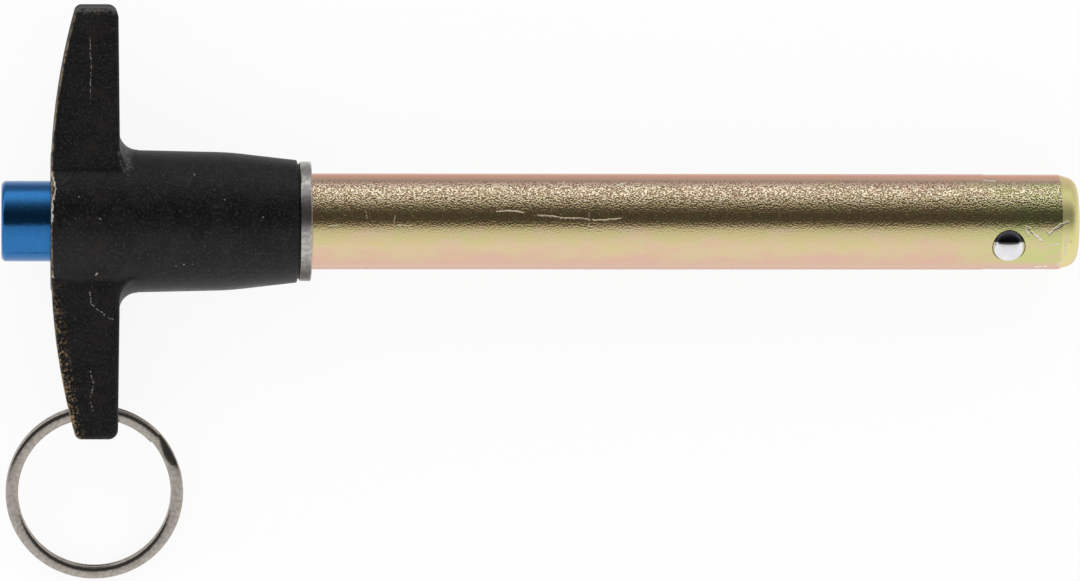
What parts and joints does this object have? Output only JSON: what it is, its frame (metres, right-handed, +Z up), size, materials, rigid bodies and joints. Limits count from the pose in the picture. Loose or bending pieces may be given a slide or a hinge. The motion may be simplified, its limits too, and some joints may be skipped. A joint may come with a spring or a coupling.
{
  "type": "ball lock pin",
  "caption": "Quick-release ball lock pin with a T-handle, push button, thrust collar, locking balls and split ring.",
  "frame": {"origin": "on the pin's axis, in the front face of the thrust collar where the grip starts", "axes": "the pin lies as it comes to rest: +Z up, +X along the pin to its tip (the pin's axis dips 1.35 degrees below +X), +Y along the crossbar, which is rolled 6.52 degrees so that the lower wing touches the floor"},
  "size_m": [0.1426, 0.076, 0.0191],
  "materials": {
    "handle": "satin black coated casting, worn at its edges",
    "shank": "yellow zinc-plated steel, turned",
    "collar": "turned grey steel",
    "button": "blue anodised, polished",
    "balls": "polished hardened steel",
    "ring": "satin stainless steel",
    "spindle": "ground steel",
    "spring": "spring wire"
  },
  "bodies": {
    "pin_body": {"t_handle": "handle", "thrust_collar": "collar", "shank": "shank", "return_spring": "spring"},
    "plunger": {"release_button": "button", "button_pin": "spindle", "spindle": "spindle"},
    "ball_1": {"lock_ball_1": "balls"},
    "ball_2": {"lock_ball_2": "balls"},
    "ring": {"split_ring": "ring"}
  },
  "joints": [
    {"name": "button_press", "type": "slide", "parent": "pin_body", "child": "plunger", "axis": [0.9997, 0, -0.0236], "range_m": [0, 0.005], "stiffness_N_per_m": 800, "springref_m": -0.0065, "deforming": ["return_spring"]},
    {"name": "ball_1_slide", "type": "slide", "parent": "pin_body", "child": "ball_1", "axis": [0.0195, -0.5667, 0.8237], "range_m": [-0.00145, 0]},
    {"name": "ball_2_slide", "type": "slide", "parent": "pin_body", "child": "ball_2", "axis": [-0.0195, 0.5667, -0.8237], "range_m": [-0.00145, 0]},
    {"name": "ring_swing", "type": "hinge", "parent": "pin_body", "child": "ring", "pos_m": [-0.02857, -0.02506, -0.00219], "axis": [0.9997, 0, -0.0236], "range_deg": [-159, 141]}
  ],
  "couplings": [
    {"joint": "ball_1_slide", "follows": "button_press", "ratio": -0.29},
    {"joint": "ball_2_slide", "follows": "button_press", "ratio": -0.29}
  ]
}
